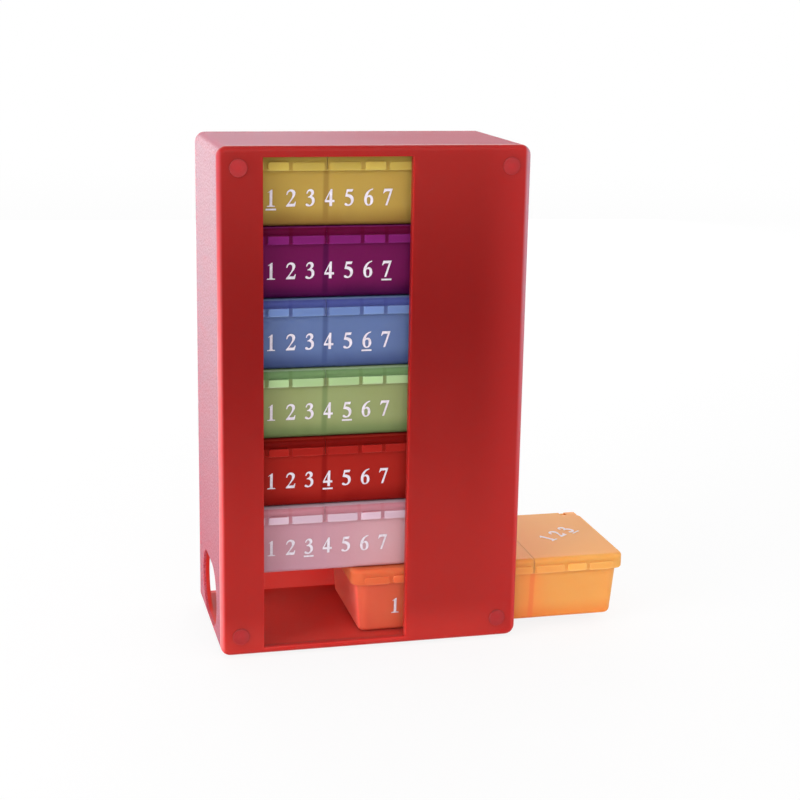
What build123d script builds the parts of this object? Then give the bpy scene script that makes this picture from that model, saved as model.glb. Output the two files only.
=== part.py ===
from build123d import *
import os
from math import radians, tan

os.makedirs("parts", exist_ok=True)

# A pill organizer for a week: a casing with a window in its front, open at its right side, and
# seven day boxes stacked in it. The bottom box is pulled part of the way out to the right.
# Sizes are in millimetres. X runs to the right, Y from the front to the back and Z up. The
# origin is on the table, under the middle of everything.

# day box, over its closed lids
box_length = 95.6
box_depth = 49.6
box_height = 22.65
compartments = 3
colours = ["orange", "clear", "red", "green", "blue", "purple", "yellow"]  # from the bottom up
pull_out = 41.9  # how far the bottom box stands to the right of the others

# lids
lid_thickness = 1.3
lid_corner = 3.5
lid_top_round = 1.4
lid_foot_round = 0.4
skirt_drop = 5.2  # from the top of the lid to the lower edge of its skirt
skirt_thickness = 0.8
end_skirt = 0.9
split_gap = 0.2  # between two lids
lid_gap = 0.2  # between a lid and its tray
pad_drop = 2.45  # from the top of the lid to the top of the pads on its skirt
pad_lift = 0.1  # from the lower edge of the skirt to the pads
pad_proud = 0.35
pad_corner = 0.8
pad_round = 0.2
pad_gap = 1.2  # between two pads of a lid
pad_margin = 0.55  # from the end of a lid to its pads
thumb_width = 6.6
thumb_proud = 0.7
thumb_lift = 0.2  # the thumb pad sits this much higher than the pads beside it

# hinges
rod_radius = 0.8
rod_clearance = 0.05
barrel_radius = 1.5
ear_margin = 0.3  # the ears are this much smaller than the barrels
ear_thickness = 1.6
ear_height = 4.5
barrel_gap = 0.3  # between a barrel and an ear
barrel_mouth = 1.2  # the slot through which a barrel snaps on the rod

# trays
compartment_pitch = 30.7
end_overhang = 1.1  # how far the outer lids reach past the tray's ends
tray_draft = 5.0  # degrees
tray_corner = 4.4
tray_foot_round = 1.8
tray_wall = 1.3
tray_floor = 1.4
divider = 1.2
pocket_corner = 3.0
pocket_foot_round = 2.5

# casing
wall = 2.2
floor_thickness = 2.2
roof_thickness = 2.4
cover_thickness = 2.6
case_corner = 3.3
back_round = 2.5
front_round = 1.7
rim_inset = 1.0  # the casing's right rim stands this far behind the edge of the cover
end_gap = 0.2  # from the left wall to the boxes
box_recess = 2.0  # from the boxes to the right edge of the cover
front_gap = 0.5
back_gap = 1.1
slide_gap = 0.2  # under each box
head_room = 0.45
window_left = 14.2  # width of the cover to the left of the window
window_width = 47.3
window_bar = 3.4  # height of the cover above the window
window_round = 0.3

# finger hole in the left wall, and the slot beside it in the back wall
finger_length = 34.5
finger_height = 22.0
finger_centre = 27.6  # from the front of the cover
finger_sill = 0.8  # above the floor
finger_slot = 10.0

# studs in the cover, and feet
stud_edge = 6.6  # from the edges of the cover to the middle of a stud
stud_head_radius = 2.75
stud_head = 0.4
stud_head_round = 0.3
stud_radius = 1.5
stud_depth = 1.7
foot_radius = 1.6
foot_height = 0.9
foot_round = 0.3
foot_side = 8.0  # from the casing's sides to the middle of a foot
foot_edge = 5.0  # from the casing's front and back to the middle of a foot
peg_radius = 0.8
peg_length = 1.3
fit_clearance = 0.05

# sizes of the whole
box_pitch = box_height + slide_gap
case_width = wall + end_gap + box_length + box_recess
case_depth = cover_thickness + front_gap + box_depth + back_gap + wall
case_height = floor_thickness + len(colours) * box_pitch + head_room + roof_thickness
overall_width = max(case_width, wall + end_gap + pull_out + box_length)
overall_depth = case_depth + stud_head

# planes of the casing
left = -overall_width / 2
right = left + case_width
front = -overall_depth / 2 + stud_head
back = front + case_depth
base = foot_height
top = base + case_height
seam = front + cover_thickness
floor_top = base + floor_thickness
roof_under = top - roof_thickness
centre_x = (left + right) / 2
centre_z = (base + top) / 2

# where a day box stands: its left end, its front and its underside
box_left = left + wall + end_gap
box_front = seam + front_gap
box_bottom = floor_top + slide_gap

# planes of a day box, from its own left, front and lower corner
splits = []  # between the lids, and the same step beyond the outer ones
for i in range(compartments + 1):
    splits.append(box_length / 2 + compartment_pitch * (i - compartments / 2))
lid_front = thumb_proud
tray_left = end_overhang
tray_right = box_length - end_overhang
tray_front = lid_front + skirt_thickness + lid_gap
hinge_y = box_depth - barrel_radius
hinge_z = box_height - barrel_radius
plate_back = hinge_y - barrel_radius
tray_back = plate_back - lid_gap
lid_under = box_height - lid_thickness
skirt_low = box_height - skirt_drop
rim = lid_under - lid_gap
ear_radius = barrel_radius - ear_margin
ear_inset = tray_corner + ear_thickness / 2
ear_places = [tray_left + ear_inset]
ear_places += splits[1:-1]
ear_places += [tray_right - ear_inset]
flare = tan(radians(tray_draft))  # how fast the tray's walls lean out


# rear shell: back wall, left wall, roof and floor in one moulding, open in front and at the right
with BuildPart() as rear_shell:
    with BuildSketch(Plane.XZ.offset(-back)):
        with Locations((centre_x, centre_z)):
            RectangleRounded(case_width, case_height, case_corner)
    extrude(amount=back - seam)
    fillet(rear_shell.faces().sort_by(Axis.Y)[-1].edges(), back_round)
    with BuildSketch(Plane.XZ.offset(wall - back)):
        with Locations((left + wall, floor_top)):
            Rectangle(case_width, roof_under - floor_top, align=(Align.MIN, Align.MIN))
    extrude(amount=case_depth, mode=Mode.SUBTRACT)
    with BuildSketch(Plane.XZ.offset(-back)):
        with Locations((right - rim_inset, base)):
            Rectangle(case_width, case_height, align=(Align.MIN, Align.MIN))
    extrude(amount=case_depth, mode=Mode.SUBTRACT)
    finger_low = floor_top + finger_sill
    with BuildSketch(Plane.YZ.offset(left)):
        with Locations((front + finger_centre, finger_low + finger_height / 2)):
            SlotOverall(finger_length, finger_height)
    extrude(amount=wall, mode=Mode.SUBTRACT)
    with BuildSketch(Plane.XZ.offset(-back)):
        with Locations((left + wall, floor_top)):
            Rectangle(finger_slot, finger_sill + finger_height, align=(Align.MIN, Align.MIN))
    extrude(amount=wall, mode=Mode.SUBTRACT)
    with BuildSketch(Plane.XY.offset(base)):
        with Locations((centre_x, (front + back) / 2)):
            with GridLocations(case_width - 2 * foot_side, case_depth - 2 * foot_edge, 2, 2):
                Circle(peg_radius + fit_clearance)
    extrude(amount=peg_length + fit_clearance, mode=Mode.SUBTRACT)
rear_shell.part.label = "rear_shell"
export_step(rear_shell.part, "parts/rear_shell.step")


# front cover: a plate with the window, closed below by a sill as high as the floor is thick
stud_span_x = case_width - 2 * stud_edge
stud_span_z = case_height - 2 * stud_edge
with BuildPart() as front_cover:
    with BuildSketch(Plane.XZ.offset(-seam)):
        with Locations((centre_x, centre_z)):
            RectangleRounded(case_width, case_height, case_corner)
    extrude(amount=cover_thickness)
    fillet(front_cover.faces().sort_by(Axis.Y)[0].edges(), front_round)
    with BuildSketch(Plane.XZ.offset(-seam)):
        with Locations((left + window_left, floor_top)):
            Rectangle(window_width, top - window_bar - floor_top, align=(Align.MIN, Align.MIN))
    extrude(amount=cover_thickness, mode=Mode.SUBTRACT)
    fillet(front_cover.faces().sort_by(Axis.Y)[0].inner_wires().edges(), window_round)
    with BuildSketch(Plane.XZ.offset(-front)):
        with Locations((centre_x, centre_z)):
            with GridLocations(stud_span_x, stud_span_z, 2, 2):
                Circle(stud_radius + fit_clearance)
    extrude(amount=-stud_depth - fit_clearance, mode=Mode.SUBTRACT)
front_cover.part.label = "front_cover"
export_step(front_cover.part, "parts/front_cover.step")


# cover studs: four round heads with shanks pressed into the corners of the cover
with BuildPart() as cover_studs:
    with BuildSketch(Plane.XZ.offset(-front)):
        with Locations((centre_x, centre_z)):
            with GridLocations(stud_span_x, stud_span_z, 2, 2):
                Circle(stud_head_radius)
    extrude(amount=stud_head)
    fillet(cover_studs.faces().filter_by(Axis.Y).group_by(Axis.Y)[0].edges(), stud_head_round)
    with BuildSketch(Plane.XZ.offset(-front)):
        with Locations((centre_x, centre_z)):
            with GridLocations(stud_span_x, stud_span_z, 2, 2):
                Circle(stud_radius)
    extrude(amount=-stud_depth)
cover_studs.part.label = "cover_studs"
export_step(cover_studs.part, "parts/cover_studs.step")


# feet: four small round feet, each with a peg pressed up into the floor
with BuildPart() as feet:
    with BuildSketch(Plane.XY):
        with Locations((centre_x, (front + back) / 2)):
            with GridLocations(case_width - 2 * foot_side, case_depth - 2 * foot_edge, 2, 2):
                Circle(foot_radius)
    extrude(amount=foot_height)
    fillet(feet.faces().filter_by(Axis.Z).group_by(Axis.Z)[0].edges(), foot_round)
    with BuildSketch(Plane.XY.offset(base)):
        with Locations((centre_x, (front + back) / 2)):
            with GridLocations(case_width - 2 * foot_side, case_depth - 2 * foot_edge, 2, 2):
                Circle(peg_radius)
    extrude(amount=peg_length)
feet.part.label = "feet"
export_step(feet.part, "parts/feet.step")


# tray of a day box: tapered walls, rounded pockets, and a hinge rod held by ears at its back
pocket_depth = rim - tray_floor
foot_inset = rim * flare  # the tray's foot is this much smaller all round than its rim
pocket_inset = pocket_depth * flare
with BuildPart() as tray:
    with BuildSketch(Plane.XY):
        with Locations(((tray_left + tray_right) / 2, (tray_front + tray_back) / 2)):
            foot_length = tray_right - tray_left - 2 * foot_inset
            foot_depth = tray_back - tray_front - 2 * foot_inset
            RectangleRounded(foot_length, foot_depth, tray_corner - foot_inset)
    extrude(amount=rim, taper=-tray_draft)
    fillet(tray.faces().sort_by(Axis.Z)[0].edges(), tray_foot_round)
    for i in range(compartments):
        pocket_left = splits[i] + divider / 2
        pocket_right = splits[i + 1] - divider / 2
        if i == 0:
            pocket_left = tray_left + tray_wall
        if i == compartments - 1:
            pocket_right = tray_right - tray_wall
        with BuildPart(mode=Mode.PRIVATE) as pocket:
            with BuildSketch(Plane.XY.offset(tray_floor)):
                with Locations(((pocket_left + pocket_right) / 2, (tray_front + tray_back) / 2)):
                    pocket_length = pocket_right - pocket_left - 2 * pocket_inset
                    pocket_width = tray_back - tray_front - 2 * tray_wall - 2 * pocket_inset
                    RectangleRounded(pocket_length, pocket_width, pocket_corner)
            extrude(amount=pocket_depth, taper=-tray_draft)
            fillet(pocket.faces().sort_by(Axis.Z)[0].edges(), pocket_foot_round)
        add(pocket.part, mode=Mode.SUBTRACT)
    for place in ear_places:
        with BuildSketch(Plane.YZ.offset(place - ear_thickness / 2)):
            with Locations((hinge_y, hinge_z)):
                Circle(ear_radius)
                ear_reach = hinge_y - tray_back + tray_wall / 2
                Rectangle(ear_reach, ear_height, align=(Align.MAX, Align.MAX))
        extrude(amount=ear_thickness)
    with BuildSketch(Plane.YZ.offset(ear_places[0])):
        with Locations((hinge_y, hinge_z)):
            Circle(rod_radius)
    extrude(amount=ear_places[-1] - ear_places[0])


def make_pad(low_x, high_x, low_z, proud):
    """A flat pad with rounded corners, which stands proud of the skirt of a lid."""
    with BuildPart() as pad:
        with BuildSketch(Plane.XZ.offset(-lid_front - skirt_thickness / 2)):
            with Locations((low_x, low_z)):
                height = skirt_drop - pad_drop - pad_lift
                pad_align = (Align.MIN, Align.MIN)
                RectangleRounded(high_x - low_x, height, pad_corner, align=pad_align)
        extrude(amount=skirt_thickness / 2 + proud)
        fillet(pad.faces().sort_by(Axis.Y)[0].edges(), pad_round)
    return pad.part


def make_lid(index):
    """A lid: a plate with a skirt and three pads in front, a barrel that snaps on the hinge rod
    and, on the two outer lids, a skirt at the end."""
    is_first = index == 0
    is_last = index == compartments - 1
    low_x = 0 if is_first else splits[index] + split_gap / 2
    high_x = box_length if is_last else splits[index + 1] - split_gap / 2
    hollow_low = low_x + end_skirt if is_first else low_x - split_gap
    hollow_high = high_x - end_skirt if is_last else high_x + split_gap
    thumb_x = (splits[index] + splits[index + 1]) / 2
    with BuildPart() as lid:
        with BuildSketch(Plane.XY.offset(skirt_low)) as outline:
            with Locations((low_x, lid_front)):
                Rectangle(high_x - low_x, plate_back - lid_front, align=(Align.MIN, Align.MIN))
            if is_first:
                fillet(outline.vertices().group_by(Axis.X)[0], lid_corner)
            if is_last:
                fillet(outline.vertices().group_by(Axis.X)[-1], lid_corner)
        extrude(amount=skirt_drop)

        def outer_edges(face):
            """The edges of a face, without those beside another lid and the one at the hinge."""
            kept = face.edges().filter_by(lambda e: e.center().Y < plate_back - split_gap)
            if not is_first:
                kept = kept.filter_by(lambda e: e.center().X > low_x + split_gap)
            if not is_last:
                kept = kept.filter_by(lambda e: e.center().X < high_x - split_gap)
            return kept

        fillet(outer_edges(lid.faces().sort_by(Axis.Z)[-1]), lid_top_round)
        fillet(outer_edges(lid.faces().sort_by(Axis.Z)[0]), lid_foot_round)
        with BuildSketch(Plane.XY.offset(lid_under)) as hollow:
            with Locations((hollow_low, lid_front + skirt_thickness)):
                Rectangle(hollow_high - hollow_low, box_depth, align=(Align.MIN, Align.MIN))
            front_corners = hollow.vertices().group_by(Axis.Y)[0]
            if is_first:
                fillet(front_corners.sort_by(Axis.X)[0], lid_corner - end_skirt)
            if is_last:
                fillet(front_corners.sort_by(Axis.X)[-1], lid_corner - end_skirt)
        extrude(amount=-skirt_drop, mode=Mode.SUBTRACT)
        pad_low = skirt_low + pad_lift
        thumb_low = thumb_x - thumb_width / 2
        thumb_high = thumb_x + thumb_width / 2
        first_pad = low_x + (lid_corner if is_first else 0) + pad_margin
        last_pad = high_x - (lid_corner if is_last else 0) - pad_margin
        add(make_pad(first_pad, thumb_low - pad_gap, pad_low, pad_proud))
        add(make_pad(thumb_high + pad_gap, last_pad, pad_low, pad_proud))
        add(make_pad(thumb_low, thumb_high, pad_low + thumb_lift, thumb_proud))
        barrel_low = ear_places[index] + ear_thickness / 2 + barrel_gap
        barrel_high = ear_places[index + 1] - ear_thickness / 2 - barrel_gap
        with BuildSketch(Plane.YZ.offset(barrel_low)):
            with Locations((hinge_y, hinge_z)):
                Circle(barrel_radius)
            with Locations((hinge_y, box_height)):
                Rectangle(2 * barrel_radius, lid_thickness, align=(Align.MAX, Align.MAX))
            with Locations((hinge_y, hinge_z)):
                Circle(rod_radius + rod_clearance, mode=Mode.SUBTRACT)
                mouth_align = (Align.CENTER, Align.MAX)
                Rectangle(barrel_mouth, 2 * barrel_radius, align=mouth_align, mode=Mode.SUBTRACT)
        extrude(amount=barrel_high - barrel_low)
        if is_first or is_last:
            stub_length = ear_places[0] - ear_thickness / 2 - barrel_gap - lid_top_round
            stub_low = lid_top_round if is_first else high_x - lid_top_round - stub_length
            with BuildSketch(Plane.YZ.offset(stub_low)):
                with Locations((hinge_y, hinge_z)):
                    Circle(barrel_radius)
                with Locations((hinge_y, box_height)):
                    Rectangle(2 * barrel_radius, lid_thickness, align=(Align.MAX, Align.MAX))
            extrude(amount=stub_length)
    return lid.part


lids = {"left": make_lid(0), "middle": make_lid(1), "right": make_lid(compartments - 1)}

# the day boxes, from the bottom up: copies of the tray and its lids, one set for each colour
for level, colour in enumerate(colours):
    shift = pull_out if level == 0 else 0
    place = Location((box_left + shift, box_front, box_bottom + level * box_pitch))
    colour_tray = tray.part.moved(place)
    colour_tray.label = f"{colour}_tray"
    export_step(colour_tray, f"parts/{colour}_tray.step")
    for side, lid_part in lids.items():
        colour_lid = lid_part.moved(place)
        colour_lid.label = f"{colour}_lid_{side}"
        export_step(colour_lid, f"parts/{colour}_lid_{side}.step")
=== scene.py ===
import math

import bpy
from mathutils import Matrix, Vector


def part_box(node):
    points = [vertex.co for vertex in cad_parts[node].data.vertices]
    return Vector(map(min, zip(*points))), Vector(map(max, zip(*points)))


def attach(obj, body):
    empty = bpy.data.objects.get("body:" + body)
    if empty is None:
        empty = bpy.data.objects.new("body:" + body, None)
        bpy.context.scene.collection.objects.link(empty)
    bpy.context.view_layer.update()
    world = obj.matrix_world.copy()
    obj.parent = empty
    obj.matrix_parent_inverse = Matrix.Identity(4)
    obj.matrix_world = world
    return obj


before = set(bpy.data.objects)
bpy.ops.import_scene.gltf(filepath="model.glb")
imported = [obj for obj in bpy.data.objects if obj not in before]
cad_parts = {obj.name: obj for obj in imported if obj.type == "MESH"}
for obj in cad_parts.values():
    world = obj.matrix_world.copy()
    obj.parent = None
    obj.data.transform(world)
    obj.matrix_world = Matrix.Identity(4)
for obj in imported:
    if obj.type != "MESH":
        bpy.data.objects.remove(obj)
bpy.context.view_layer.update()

# The studio: a pale floor that runs far back, soft light from the left, and the camera at the
# photograph's place. The floor and the world are white to the camera, to gloss and through
# clear plastic, and the floor still takes the shadow of the object.
camera_place = Vector((-0.13638, -0.52469, 0.21155))
camera_yaw = math.radians(14.102)  # towards the right
camera_pitch = math.radians(-13.906)
camera_roll = math.radians(1.021)
ahead = Vector((math.sin(camera_yaw) * math.cos(camera_pitch),
                math.cos(camera_yaw) * math.cos(camera_pitch),
                math.sin(camera_pitch)))
level_right = Vector((math.cos(camera_yaw), -math.sin(camera_yaw), 0))
level_up = level_right.cross(ahead)
right = math.cos(camera_roll) * level_right + math.sin(camera_roll) * level_up
up = -math.sin(camera_roll) * level_right + math.cos(camera_roll) * level_up
camera_data = bpy.data.cameras.new("photo_camera")
focal_length_px = 1641.93
picture_width_px = 800
camera_data.sensor_width = 36
camera_data.lens = camera_data.sensor_width * focal_length_px / picture_width_px
camera_data.clip_start = 0.01
camera_data.clip_end = 50
camera = bpy.data.objects.new("photo_camera", camera_data)
bpy.context.scene.collection.objects.link(camera)
camera.matrix_world = Matrix((
    (right.x, up.x, -ahead.x, camera_place.x),
    (right.y, up.y, -ahead.y, camera_place.y),
    (right.z, up.z, -ahead.z, camera_place.z),
    (0, 0, 0, 1)))
bpy.context.scene.camera = camera
bpy.context.scene.view_settings.view_transform = "Standard"


class Wire:
    """The output of a shader node, which can be reckoned with as if it were a number."""

    def __init__(self, tree, socket):
        self.tree = tree
        self.socket = socket

    def make(self, kind, settings=None, **sockets):
        """Adds a node, sets its settings and then its sockets, and gives its first output.
        A socket goes by its name, or by n and its number."""
        node = self.tree.nodes.new(kind)
        for name, value in (settings or {}).items():
            setattr(node, name, value)
        for name, value in sockets.items():
            numbered = name[0] == "n" and name[1:].isdigit()
            socket = node.inputs[int(name[1:]) if numbered else name.replace("_", " ")]
            if isinstance(value, Wire):
                self.tree.links.new(value.socket, socket)
            elif isinstance(value, tuple) and len(value) == 3 and socket.type == "RGBA":
                socket.default_value = (*value, 1)
            else:
                socket.default_value = value
        return Wire(self.tree, node.outputs[0])

    def out(self, name):
        """Another output of the same node."""
        return Wire(self.tree, self.socket.node.outputs[name])

    def math(self, operation, a, b=0.0):
        return self.make("ShaderNodeMath", {"operation": operation}, n0=a, n1=b)

    def __add__(self, other):
        return self.math("ADD", self, other)

    __radd__ = __add__

    def __mul__(self, other):
        return self.math("MULTIPLY", self, other)

    __rmul__ = __mul__

    def __sub__(self, other):
        return self.math("SUBTRACT", self, other)

    def __rsub__(self, other):
        return self.math("SUBTRACT", other, self)

    def most(self, other):
        """The larger of the two."""
        return self.math("MAXIMUM", self, other)

    def size(self):
        """The number without its sign."""
        return self.math("ABSOLUTE", self)

    def between(self, low, high):
        """0 below low, 1 above high, and a smooth rise in between."""
        return self.make("ShaderNodeMapRange", {"interpolation_type": "SMOOTHSTEP"},
                         Value=self, From_Min=low, From_Max=high)

    def tint(self, first, second):
        """The first colour where this is 0 and the second where it is 1."""
        mix = self.make("ShaderNodeMix", {"data_type": "RGBA"}, n0=self, n6=first, n7=second)
        return Wire(self.tree, mix.socket.node.outputs[2])

    def to_surface(self, output):
        """Makes this shader the surface of its material or world."""
        self.tree.links.new(self.socket, output.inputs["Surface"])


def new_material(name):
    """A material with an empty tree, its output node, and a wire to start from."""
    material = bpy.data.materials.new(name)
    material.use_nodes = True
    tree = material.node_tree
    tree.nodes.clear()
    output = tree.nodes.new("ShaderNodeOutputMaterial")
    place = Wire(tree, None).make("ShaderNodeTexCoord").out("Object")
    return material, output, place


floor_material, output, place = new_material("studio_white")
path = place.make("ShaderNodeLightPath")
sees = path.most(path.out("Is Glossy Ray")).most(path.out("Is Transmission Ray"))
far = place.make("ShaderNodeVectorMath", {"operation": "LENGTH"}, n0=place).out("Value")
share = 0.86 + 0.14 * far.between(0.35, 1.6)
speck = place.make("ShaderNodeTexNoise", Vector=place, Scale=40, Detail=3)
paper = speck.tint((0.86, 0.86, 0.86), (0.90, 0.90, 0.90))
matt = place.make("ShaderNodeBsdfPrincipled", Base_Color=paper, Roughness=0.9)
glow = place.make("ShaderNodeEmission", Color=(1, 1, 1), Strength=1.0)
floor_shader = place.make("ShaderNodeMixShader", n0=sees * share, n1=matt, n2=glow)
floor_shader.to_surface(output)
bpy.ops.mesh.primitive_plane_add(size=40)
floor = bpy.context.object
floor.name = "studio_floor"
floor.data.materials.append(floor_material)

world = bpy.data.worlds.new("studio")
bpy.context.scene.world = world
world.use_nodes = True
tree = world.node_tree
tree.nodes.clear()
start = Wire(tree, None)
path = start.make("ShaderNodeLightPath")
sees = path.most(path.out("Is Transmission Ray"))
strength = 0.72 + sees * 0.28
background = start.make("ShaderNodeBackground", Color=(1, 1, 1), Strength=strength)
world_output = tree.nodes.new("ShaderNodeOutputWorld")
background.to_surface(world_output)

for name, place_m, size, watts in (
        ("left_light", (-1.10, -0.45, 0.40), 0.8, 9.0),
        ("front_light", (-0.10, -1.30, 0.70), 0.9, 6.0),
        ("back_light", (0.10, 1.00, 0.18), 0.8, 7.0)):
    lamp = bpy.data.lights.new(name, "AREA")
    lamp.size = size
    lamp.energy = watts
    lamp_object = bpy.data.objects.new(name, lamp)
    bpy.context.scene.collection.objects.link(lamp_object)
    lamp_object.location = place_m
    lamp_object.rotation_euler = (
        Vector((0, 0, 0.08)) - Vector(place_m)).to_track_quat("-Z", "Y").to_euler()


# The rear shell: one moulding in red plastic, spark-eroded on the outside, so that it is frosted
# and speckled, with a painted sheen in pale red on the outside, paler towards the roof, and
# painted shade on the roof that darkens to the right. It is smooth and deep red inside, with
# painted light on the inner face of the back wall.
MM = 0.001


def translucent(place, colour, roughness, normal, depth, gloss):
    """A plastic that light enters and spreads in, to about the depth in metres."""
    return place.make(
        "ShaderNodeBsdfPrincipled", Base_Color=colour, Roughness=roughness, Normal=normal,
        Subsurface_Weight=1.0, Subsurface_Radius=depth, Subsurface_Scale=1.0,
        Specular_IOR_Level=gloss, IOR=1.49)


def dress(node_name, material):
    """Gives a CAD node its material."""
    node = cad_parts[node_name]
    node.data.materials.clear()
    node.data.materials.append(material)


shell_low, shell_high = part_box("rear_shell")
shell_material, output, place = new_material("frosted_red")
axes = place.make("ShaderNodeSeparateXYZ", Vector=place)
x, y, z = axes, axes.out("Y"), axes.out("Z")
cloud = place.make("ShaderNodeTexNoise", Vector=place, Scale=22, Detail=4, Roughness=0.6)
grain = place.make("ShaderNodeTexNoise", Vector=place, Scale=1500, Detail=2)
mottle = place.make("ShaderNodeTexNoise", Vector=place, Scale=1500, Detail=3, Roughness=0.7)
rounding = 3.0 * MM  # of the outer edges
from_left = (shell_low.x + rounding - x).most(0)
from_back = (y - (shell_high.y - rounding)).most(0)
from_ends = (z - (shell_high.z - rounding)).most(shell_low.z + rounding - z).most(0)
reach = place.make("ShaderNodeCombineXYZ", X=from_left, Y=from_back, Z=from_ends)
reach = reach.make("ShaderNodeVectorMath", {"operation": "LENGTH"}, n0=reach).out("Value")
outside = reach.between(rounding - 1.2 * MM, rounding - 0.6 * MM)
top_face = z.between(shell_high.z - 1.6 * MM, shell_high.z - 0.4 * MM)
# Painted light: the inner face of the back wall is paler red.
inner_back_painted_light = y.between(shell_high.y - 2.7 * MM, shell_high.y - 2.4 * MM)
deep_red = cloud.tint((0.55, 0.041, 0.031), (0.62, 0.054, 0.041))
deep_red = inner_back_painted_light.tint(deep_red, (0.64, 0.120, 0.100))
# Painted sheen on the outer faces, paler towards the roof and speckled.
painted_light_climb = (z + 0.012 * cloud).between(0.0, shell_high.z)
pale_painted_sheen = painted_light_climb.tint((0.44, 0.145, 0.188), (0.545, 0.355, 0.400))
dark_painted_sheen = painted_light_climb.tint((0.31, 0.056, 0.080), (0.375, 0.160, 0.200))
speckle_and_painted_sheen = mottle.between(0.34, 0.66).tint(dark_painted_sheen, pale_painted_sheen)
# Painted shade on the roof, darker towards the right.
painted_shade_across = (x + 0.01 * cloud).between(shell_low.x, shell_high.x)
roof_painted_shade = painted_shade_across.tint((0.340, 0.100, 0.142), (0.310, 0.038, 0.064))
speckle_and_painted_sheen = top_face.tint(speckle_and_painted_sheen, roof_painted_shade)
bump = place.make("ShaderNodeBump", Strength=0.45, Distance=0.15 * MM, Height=grain)
depth = (7.0 * MM, 1.2 * MM, 1.2 * MM)
inner = translucent(place, deep_red, 0.5 + 0.08 * cloud, bump, depth, gloss=0.05)
outer = translucent(place, speckle_and_painted_sheen, 0.5 + 0.08 * cloud, bump, depth, gloss=0.03)
place.make("ShaderNodeMixShader", n0=outside, n1=inner, n2=outer).to_surface(output)
dress("rear_shell", shell_material)

# The front cover, its four studs and the feet: red plastic of the same batch with a smooth face.
# The colour has painted shade half way up, where it is deepest, and painted light towards the top,
# the foot and the right side; the rounded rims are paler, with a painted highlight on the left
# rim and a painted sheen on the right one.
cover_low, cover_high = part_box("front_cover")
cover_material, output, place = new_material("satin_red")
axes = place.make("ShaderNodeSeparateXYZ", Vector=place)
x, z = axes, axes.out("Z")
flow = place.make("ShaderNodeTexNoise", Vector=place, Scale=14, Detail=3, Distortion=0.6)
scuff = place.make("ShaderNodeTexNoise", Vector=place, Scale=700, Detail=3)
# Painted shade half way up the cover, painted light towards its top and foot.
painted_shade_middle_z = 0.112
drift = z - painted_shade_middle_z + 0.03 * (flow - 0.5)
painted_light_ends = drift.size().between(0.0, 0.095)
colour = painted_light_ends.tint((0.250, 0.0085, 0.0075), (0.400, 0.0250, 0.0210))
# Painted light on the lowest part of the cover.
painted_light_foot = 1 - z.between(4 * MM, 16 * MM)
colour = painted_light_foot.tint(colour, (0.500, 0.0370, 0.0300))
# Painted light towards the right side of the cover.
painted_light_right = x.between(0.012, cover_high.x) * 0.6
colour = painted_light_right.tint(colour, (0.460, 0.0270, 0.0260))
left_rim = 1 - x.between(cover_low.x + 0.2 * MM, cover_low.x + 1.6 * MM)
right_rim = x.between(cover_high.x - 2.2 * MM, cover_high.x - 1.0 * MM)
# Painted highlight along the rounded left rim, brightest low down.
rim_painted_highlight = z.between(0.09, 0.16).tint((0.98, 0.230, 0.240), (0.52, 0.080, 0.100))
colour = (0.85 * left_rim).tint(colour, rim_painted_highlight)
# Painted sheen along the right rim, pinker towards the top.
rim_painted_sheen = z.between(0.02, cover_high.z).tint((0.54, 0.050, 0.048), (0.50, 0.290, 0.350))
colour = (0.90 * right_rim).tint(colour, rim_painted_sheen)
bump = place.make("ShaderNodeBump", Strength=0.2, Distance=0.06 * MM, Height=scuff)
cover_depth = (4.0 * MM, 0.8 * MM, 0.8 * MM)
plastic = translucent(place, colour, 0.34 + 0.1 * scuff, bump, cover_depth, gloss=0.12)
plastic.to_surface(output)
dress("front_cover", cover_material)

stud_material, output, place = new_material("stud_red")
speck = place.make("ShaderNodeTexNoise", Vector=place, Scale=900, Detail=2)
# The studs and feet are paler than the middle of the cover: painted light, as on the cover's ends.
colour = speck.tint((0.46, 0.034, 0.037), (0.52, 0.044, 0.048))
bump = place.make("ShaderNodeBump", Strength=0.15, Distance=0.05 * MM, Height=speck)
plastic = translucent(place, colour, 0.36 + 0.1 * speck, bump, cover_depth, gloss=0.04)
plastic.to_surface(output)
for node in ("cover_studs", "feet"):
    dress(node, stud_material)

# The seven day boxes: each a tray with three pockets and three lids that snap on a rod behind,
# moulded in one tinted, milky plastic. Painted shade makes the colour deeper at the foot, at the
# dividers, in the band above the pads of the lids and in the gaps beside the thumb pads; painted
# light makes it paler on those pads, most of all on the thumb pads, and on the tops of the lids.
plastics = {  # painted shade at the foot, the walls, painted light on pads and lid tops, painted shade above pads
    "orange": (
        (0.80, 0.250, 0.055), (0.97, 0.400, 0.115),
        (1.00, 0.330, 0.095), (0.97, 0.360, 0.095)),
    "clear": (
        (0.50, 0.260, 0.320), (0.53, 0.275, 0.325),
        (0.58, 0.440, 0.520), (0.43, 0.155, 0.190)),
    "red": (
        (0.20, 0.0040, 0.0030), (0.37, 0.0195, 0.0135),
        (0.32, 0.016, 0.012), (0.11, 0.0006, 0.0005)),
    "green": (
        (0.12, 0.170, 0.055), (0.290, 0.312, 0.133),
        (0.37, 0.525, 0.275), (0.10, 0.200, 0.080)),
    "blue": (
        (0.05, 0.070, 0.190), (0.126, 0.178, 0.350),
        (0.155, 0.230, 0.450), (0.043, 0.045, 0.210)),
    "purple": (
        (0.030, 0.0006, 0.030), (0.150, 0.0075, 0.071),
        (0.19, 0.015, 0.140), (0.085, 0.0002, 0.010)),
    "yellow": (
        (0.26, 0.140, 0.034), (0.460, 0.305, 0.073),
        (0.49, 0.375, 0.088), (0.40, 0.290, 0.060)),
}
draft = math.radians(5)  # of the trays' walls
half_pitch = 15.35 * MM  # from the middle of a lid to the seam beside it
pad_gap = 3.9 * MM  # from the middle of a lid to the gap beside its thumb pad
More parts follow.
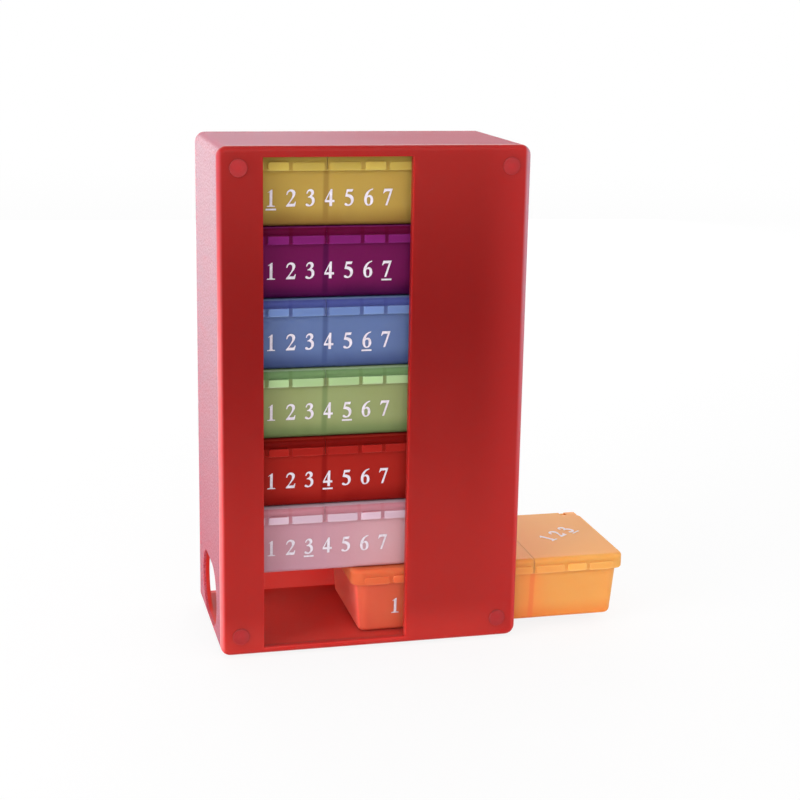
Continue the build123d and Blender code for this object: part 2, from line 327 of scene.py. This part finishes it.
box_depth = (3 * MM, 3 * MM, 3 * MM)


def warm(x, colour, redder, end):
    """The orange plastic is redder at the end that stands in the casing, which glows red on it."""
    inward = 1 - x.between(-20 * MM, end)
    return inward.tint(colour, redder)


for colour_name, (painted_shade_foot, body, painted_light_pale, painted_shade_deep) in plastics.items():
    low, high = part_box(f"{colour_name}_tray")
    material, output, place = new_material(f"{colour_name}_tray_plastic")
    axes = place.make("ShaderNodeSeparateXYZ", Vector=place)
    x, z = axes, axes.out("Z")
    flow = place.make("ShaderNodeTexNoise", Vector=place, Scale=45, Detail=3, Distortion=0.4)
    grain = place.make("ShaderNodeTexNoise", Vector=place, Scale=1100, Detail=2)
    # Painted shade: darker towards the foot of the tray.
    painted_shade_lift = (z + 3 * MM * (flow - 0.5)).between(low.z, low.z + 7 * MM)
    colour = painted_shade_lift.tint(painted_shade_foot, body)
    centre = (low.x + high.x) / 2
    # Painted shade in strips at the dividers.
    divider_painted_shade = (0.86, 0.190, 0.075) if colour_name == "orange" else painted_shade_foot
    for split in (centre - half_pitch, centre + half_pitch):
        divider = 1 - (x - split).size().between(0.4 * MM, 1.3 * MM)
        colour = (0.65 * divider).tint(colour, divider_painted_shade)
    if colour_name == "clear":
        colour = x.between(low.x + 25 * MM, low.x + 60 * MM).tint(colour, (0.64, 0.355, 0.375))
    if colour_name == "orange":
        colour = warm(x, (0.25 * flow).tint(colour, painted_light_pale), (0.62, 0.092, 0.062), 52 * MM)
        # Painted glow: the left end face, which stands in the casing, is painted red.
        end_wall = x - low.x - (high.z - z) * math.tan(draft)
        left_end_painted_glow = 1 - end_wall.between(0.3 * MM, 0.9 * MM)
        colour = left_end_painted_glow.tint(colour, (1.0, 0.110, 0.095))
    bump = place.make("ShaderNodeBump", Strength=0.25, Distance=0.1 * MM, Height=grain)
    plastic = translucent(place, (0.25 * flow).tint(colour, painted_light_pale), 0.34 + 0.1 * flow, bump,
                          box_depth, gloss=0.08)
    plastic.to_surface(output)
    dress(f"{colour_name}_tray", material)
    low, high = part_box(f"{colour_name}_lid_middle")
    material, output, place = new_material(f"{colour_name}_lid_plastic")
    axes = place.make("ShaderNodeSeparateXYZ", Vector=place)
    x, y, z = axes, axes.out("Y"), axes.out("Z")
    flow = place.make("ShaderNodeTexNoise", Vector=place, Scale=45, Detail=3, Distortion=0.4)
    grain = place.make("ShaderNodeTexNoise", Vector=place, Scale=1100, Detail=2)
    from_middle = x - (low.x + high.x) / 2
    from_thumb = from_middle.math("PINGPONG", from_middle, half_pitch)
    # Painted shade in the gaps beside the thumb pads and at the seams between lids.
    painted_shade_gap = 1 - (from_thumb - pad_gap).size().between(0.3 * MM, 0.9 * MM)
    painted_shade_gap = painted_shade_gap.most(from_thumb.between(14.1 * MM, 14.8 * MM))
    # Painted light on the pads and tops of the lids, painted shade in the band above the pads.
    front = 1 - y.between(low.y + 1.4 * MM, low.y + 2.2 * MM)
    band = z.between(high.z - 2.6 * MM, high.z - 2.3 * MM)
    between_pads = tuple(0.6 * a + 0.4 * b for a, b in zip(body, painted_shade_deep))
    if colour_name == "orange":
        colour = front.tint(painted_light_pale, (0.25 * painted_shade_gap).tint(body, painted_shade_deep))
    else:
        colour = (front * painted_shade_gap).tint(painted_light_pale, between_pads)
    # Painted light on the prouder thumb pads.
    thumb_painted_light = 1 - from_thumb.between(3.0 * MM, 3.5 * MM)
    pad = body if colour_name == "orange" else painted_light_pale
    colour = (front * thumb_painted_light).tint(colour, tuple(min(1.0, 1.12 * a) for a in pad))
    colour = (0.9 * front * band).tint(colour, painted_shade_deep)
    if colour_name == "orange":
        colour = warm(x, colour, (0.66, 0.110, 0.050), 62 * MM)
    bump = place.make("ShaderNodeBump", Strength=0.25, Distance=0.1 * MM, Height=grain)
    plastic = translucent(place, (0.25 * flow).tint(colour, body), 0.36 + 0.1 * flow, bump,
                          box_depth, gloss=0.03)
    plastic.to_surface(output)
    for side in ("left", "middle", "right"):
        dress(f"{colour_name}_lid_{side}", material)


# The numbers printed in white on the fronts of the trays: the days 1 to 7 in a row, with a bar
# under the day of that box, and 1 to 3 on every lid, with a bar under that compartment. Each
# numeral is a film of ink that lies on the plastic.
outlines = {  # in hundredths of a capital's height; sharp corners have a third value
    "1": [
        [(9, 80, 0), (34, 100, 0), (38, 100, 0), (38, 9, 0), (42, 5, 0), (54, 3.5, 0),
         (54, 0, 0), (8, 0, 0), (8.4, 3.5, 0), (20, 5, 0), (24, 9, 0), (24, 84, 0),
         (21, 87, 0), (10, 83, 0)],
    ],
    "2": [
        [(6, 70, 0), (10, 86), (20, 96), (33, 100), (47, 96), (56, 86), (57, 74), (51, 58),
         (38, 40), (20, 14.5, 0), (46, 14.5, 0), (53, 17), (58, 27, 0), (61.5, 27, 0),
         (56, 0, 0), (5, 0, 0), (5, 4, 0), (20, 22), (34, 44), (41, 60), (42, 73), (38, 85),
         (28, 90), (17, 85), (10, 70, 0)],
    ],
    "3": [
        [(8, 76, 0), (13, 90), (28, 100), (44, 96), (51, 83), (47, 69), (38, 60.5, 0),
         (50, 52), (56, 36), (50, 13), (34, 1), (17, 0), (6, 5), (5, 11), (10, 15), (17, 12),
         (27, 6.5), (37, 13), (42, 30), (37, 45), (25, 52), (17, 52, 0), (17, 55, 0), (29, 62),
         (36, 76), (32, 88), (22, 90.5), (11.5, 75, 0)],
    ],
    "4": [
        [(36, 100, 0), (44, 100, 0), (44, 34.5, 0), (58, 34.5, 0), (58, 23, 0), (44, 23, 0),
         (44, 0, 0), (30, 0, 0), (30, 23, 0), (2, 23, 0), (2, 32, 0)],
        [(30, 34.5, 0), (30, 80, 0), (8.5, 34.5, 0)],
    ],
    "5": [
        [(16, 98, 0), (52, 98, 0), (47, 84.5, 0), (21, 84.5, 0), (17, 69, 0), (34, 66),
         (50, 56), (56.5, 36), (51, 15), (37, 2), (18, 0), (6, 5), (5, 11), (10, 15), (17, 12),
         (27, 6.5), (38, 13), (42.5, 29), (38, 43), (26, 52), (7, 55.5, 0)],
    ],
    "6": [
        [(55, 100, 0), (36, 93), (16, 74), (6, 42), (10, 15), (20, 2), (32, -0.5), (47, 5),
         (57, 20), (57, 40), (50, 55), (38, 61), (22, 54, 0), (29, 74), (40, 88),
         (55.5, 96.5, 0)],
        [(31, 52), (41, 46), (43.5, 26), (40, 9), (32.5, 4.5), (24, 10), (20, 30), (21.5, 46)],
    ],
    "7": [
        [(10, 98, 0), (58, 98, 0), (58, 95.5, 0), (29, 0, 0), (19, 0, 0), (45, 84.5, 0),
         (20, 84.5, 0), (12, 80), (5.5, 72, 0), (3, 73, 0)],
    ],
}
underline = [[(0, -22, 0), (62, -22, 0), (62, -12, 0), (0, -12, 0)]]
ink_height = 0.04 * MM
ink_proud = 0.3 * ink_height  # from the plastic to the middle of the film


def flat_shape(name, loops, height, weight=0.0):
    """A flat mesh of that height for its capitals, as thick as the ink, from closed outlines.
    The weight makes each stroke that much wider on both sides."""
    curve = bpy.data.curves.new(name, "CURVE")
    curve.dimensions = "2D"
    curve.fill_mode = "BOTH"
    curve.resolution_u = 5
    curve.extrude = ink_height / 2
    curve.offset = weight
    for loop in loops:
        spline = curve.splines.new("BEZIER")
        spline.bezier_points.add(len(loop) - 1)
        spline.use_cyclic_u = True
        for point, place in zip(spline.bezier_points, loop):
            point.co = (place[0] * height / 100, place[1] * height / 100, 0)
            kind = "VECTOR" if len(place) == 3 else "AUTO"
            point.handle_left_type = kind
            point.handle_right_type = kind
    shape = bpy.data.objects.new(name, curve)
    bpy.context.scene.collection.objects.link(shape)
    bpy.ops.object.select_all(action="DESELECT")
    shape.select_set(True)
    bpy.context.view_layer.objects.active = shape
    bpy.ops.object.convert(target="MESH")
    shape = bpy.context.object
    bpy.ops.object.mode_set(mode="EDIT")
    bpy.ops.mesh.select_all(action="SELECT")
    bpy.ops.mesh.remove_doubles(threshold=1e-6)
    bpy.ops.mesh.normals_make_consistent(inside=False)
    bpy.ops.object.mode_set(mode="OBJECT")
    return shape


def laid(shape, matrix):
    """A copy of a flat shape, with its own mesh, put in its place."""
    copy = shape.copy()
    copy.data = shape.data.copy()
    copy.data.transform(matrix)
    bpy.context.scene.collection.objects.link(copy)
    return copy


def joined(name, parts, material, body):
    """Joins pieces of one print, and fixes it to its body."""
    bpy.ops.object.select_all(action="DESELECT")
    for part in parts:
        part.select_set(True)
    bpy.context.view_layer.objects.active = parts[0]
    bpy.ops.object.join()
    print_piece = bpy.context.object
    print_piece.name = name
    print_piece.data.name = name
    print_piece.data.materials.clear()
    print_piece.data.materials.append(material)
    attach(print_piece, body)


inks = {}
for ink_name, thin, thick in (
        ("white_ink", (0.64, 0.57, 0.64), (0.80, 0.75, 0.82)),
        ("rosy_ink", (0.94, 0.72, 0.76), (1.00, 0.82, 0.86))):
    ink, output, place = new_material(ink_name)
    wear = place.make("ShaderNodeTexNoise", Vector=place, Scale=900, Detail=4, Roughness=0.7)
    bump = place.make("ShaderNodeBump", Strength=0.2, Distance=0.03 * MM, Height=wear)
    shader = place.make(
        "ShaderNodeBsdfPrincipled", Base_Color=wear.between(0.3, 0.75).tint(thin, thick),
        Roughness=0.5 + 0.2 * wear, Normal=bump, Specular_IOR_Level=0.2)
    shader.to_surface(output)
    inks[ink_name] = ink

capital = 5.3 * MM
numerals = {
    digit: flat_shape(f"numeral_{digit}", loops, capital, weight=0.05 * MM)
    for digit, loops in outlines.items()}
bar = flat_shape("bar", underline, capital)
lid_capital = 6.2 * MM
lid_numerals = {
    digit: flat_shape(f"lid_numeral_{digit}", outlines[digit], lid_capital, weight=0.16 * MM)
    for digit in "123"}
lid_bar = flat_shape("lid_bar", underline, lid_capital)
days = ["yellow", "orange", "clear", "red", "green", "blue", "purple"]
rim_height = 21.15 * MM
baseline = 6.3 * MM
first_numeral = 12.4 * MM
numeral_pitch = 6.2 * MM
lid_print_y = 25.2 * MM
half_numeral = 1.8 * MM
lid_turn = math.radians(38.8)
for day, colour_name in enumerate(days, start=1):
    low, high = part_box(f"{colour_name}_tray")
    body = f"{colour_name}_box"
    wall_y = low.y + (rim_height - baseline) * math.tan(draft)
    upright = Matrix.Rotation(math.pi / 2 + draft, 4, "X")
    pieces = []
    for number in range(1, 8):
        start_x = low.x + first_numeral + (number - 1) * numeral_pitch
        spot = Matrix.Translation((start_x, wall_y - ink_proud, low.z + baseline)) @ upright
        pieces.append(laid(numerals[str(number)], spot))
        if number == day:
            pieces.append(laid(bar, spot))
    joined(f"{colour_name}_day_print", pieces, inks["white_ink"], body)
    for number, side in enumerate(("left", "middle", "right"), start=1):
        low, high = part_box(f"{colour_name}_lid_{side}")
        centre = Vector(((low.x + high.x) / 2, low.y + lid_print_y, high.z + ink_proud))
        turn = Matrix.Rotation(lid_turn, 4, "Z")
        pieces = []
        for step in (1, 2, 3):
            along = (step - 2) * numeral_pitch - half_numeral
            shift = Matrix.Translation((along, -lid_capital / 2, 0))
            spot = Matrix.Translation(centre) @ turn @ shift
            pieces.append(laid(lid_numerals[str(step)], spot))
            if step == number:
                pieces.append(laid(lid_bar, spot))
        lid_body = "orange_lid" if (colour_name, side) == ("orange", "right") else body
        joined(f"{colour_name}_lid_{side}_print", pieces, inks["rosy_ink"], lid_body)
for shape in (*numerals.values(), *lid_numerals.values(), bar, lid_bar):
    bpy.data.objects.remove(shape)
